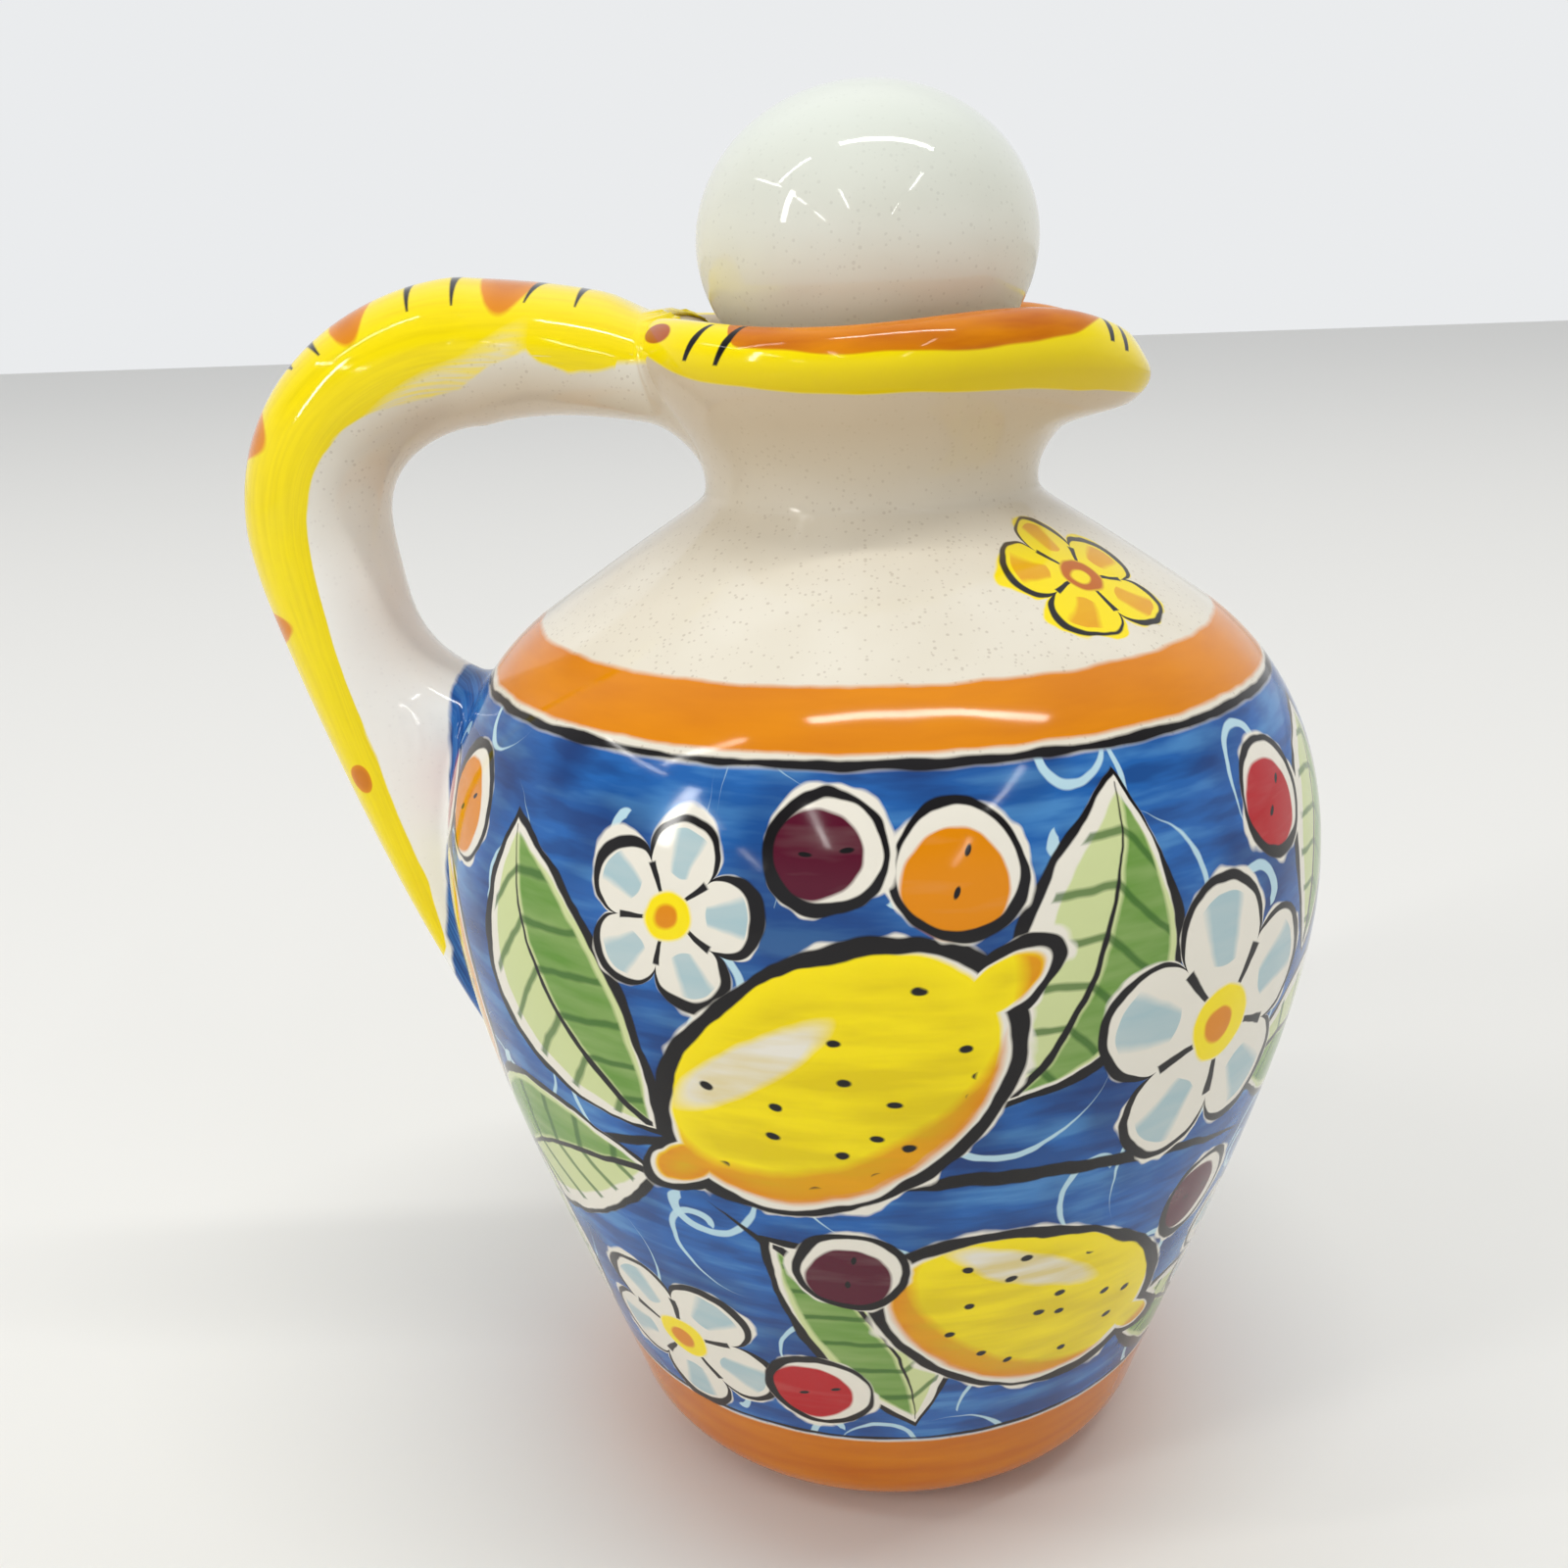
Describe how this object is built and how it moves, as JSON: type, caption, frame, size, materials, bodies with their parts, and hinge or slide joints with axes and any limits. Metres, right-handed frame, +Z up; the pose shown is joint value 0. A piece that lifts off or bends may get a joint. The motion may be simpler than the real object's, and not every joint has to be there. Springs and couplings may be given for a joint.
{
  "type": "oil cruet",
  "caption": "Round-bellied ceramic oil cruet with a narrow neck, a pulled pouring lip, a strap handle and a ball stopper held by a cork.",
  "frame": {"origin": "middle of the round foot, on the surface that the cruet stands on", "axes": "+Z up along the axis that the pot was turned on, +X towards the pouring lip, -X towards the handle"},
  "size_m": [0.1276, 0.106, 0.1647],
  "materials": {
    "painted_glaze": "glossy clear glaze over hand-painted bands and ornament on an off-white ground",
    "handle_glaze": "glossy clear glaze over brushed yellow on off-white",
    "ball_glaze": "glossy off-white glaze with fine specks",
    "cork": "raw cork"
  },
  "bodies": {
    "jug": {"jug_body": "painted_glaze", "handle": "handle_glaze"},
    "cork": {"stopper_cork": "cork"},
    "ball": {"stopper_ball": "ball_glaze"}
  },
  "joints": [
    {"name": "stopper_lift", "type": "slide", "parent": "jug", "child": "cork", "axis": [0, 0, 1], "range_m": [0, 0.06]},
    {"name": "stopper_twist", "type": "hinge", "parent": "cork", "child": "ball", "pos_m": [0, 0, 0.14764], "axis": [0, 0, 1], "continuous": true}
  ]
}
